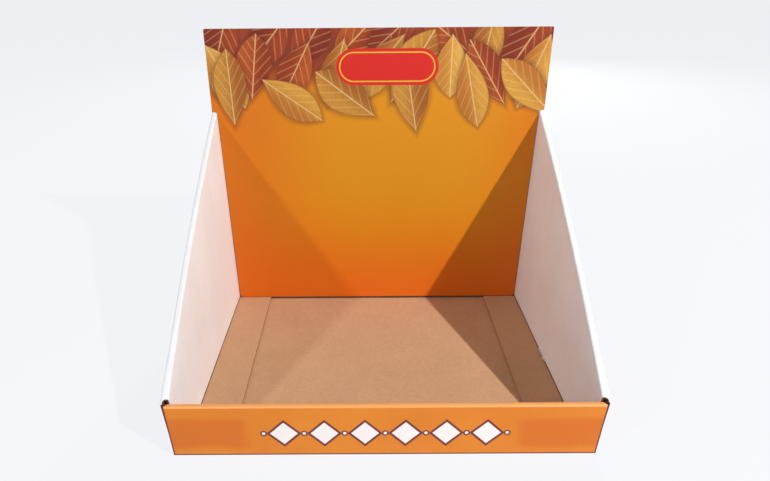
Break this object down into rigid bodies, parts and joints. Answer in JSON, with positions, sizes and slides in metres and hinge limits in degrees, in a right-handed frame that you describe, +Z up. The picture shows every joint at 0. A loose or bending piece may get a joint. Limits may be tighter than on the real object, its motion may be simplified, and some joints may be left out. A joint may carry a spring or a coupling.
{
  "type": "counter display box",
  "caption": "Open counter display box of thin corrugated board with sloping double side walls, a low rolled front lip and a tall header card standing at the back.",
  "frame": {"origin": "on the ground under the middle of the tray", "axes": "+X to the right seen from the front, +Y to the back where the header card stands, +Z up; the low lip faces -Y"},
  "size_m": [0.4102, 0.292, 0.356],
  "materials": {
    "tray_board": "white liner on the side walls, kraft inside, satin orange print on the front",
    "header_print": "satin print, yellow-orange with a browner band at the top"
  },
  "bodies": {
    "root": {"tray": "tray_board", "header_card": "header_print"}
  },
  "joints": []
}
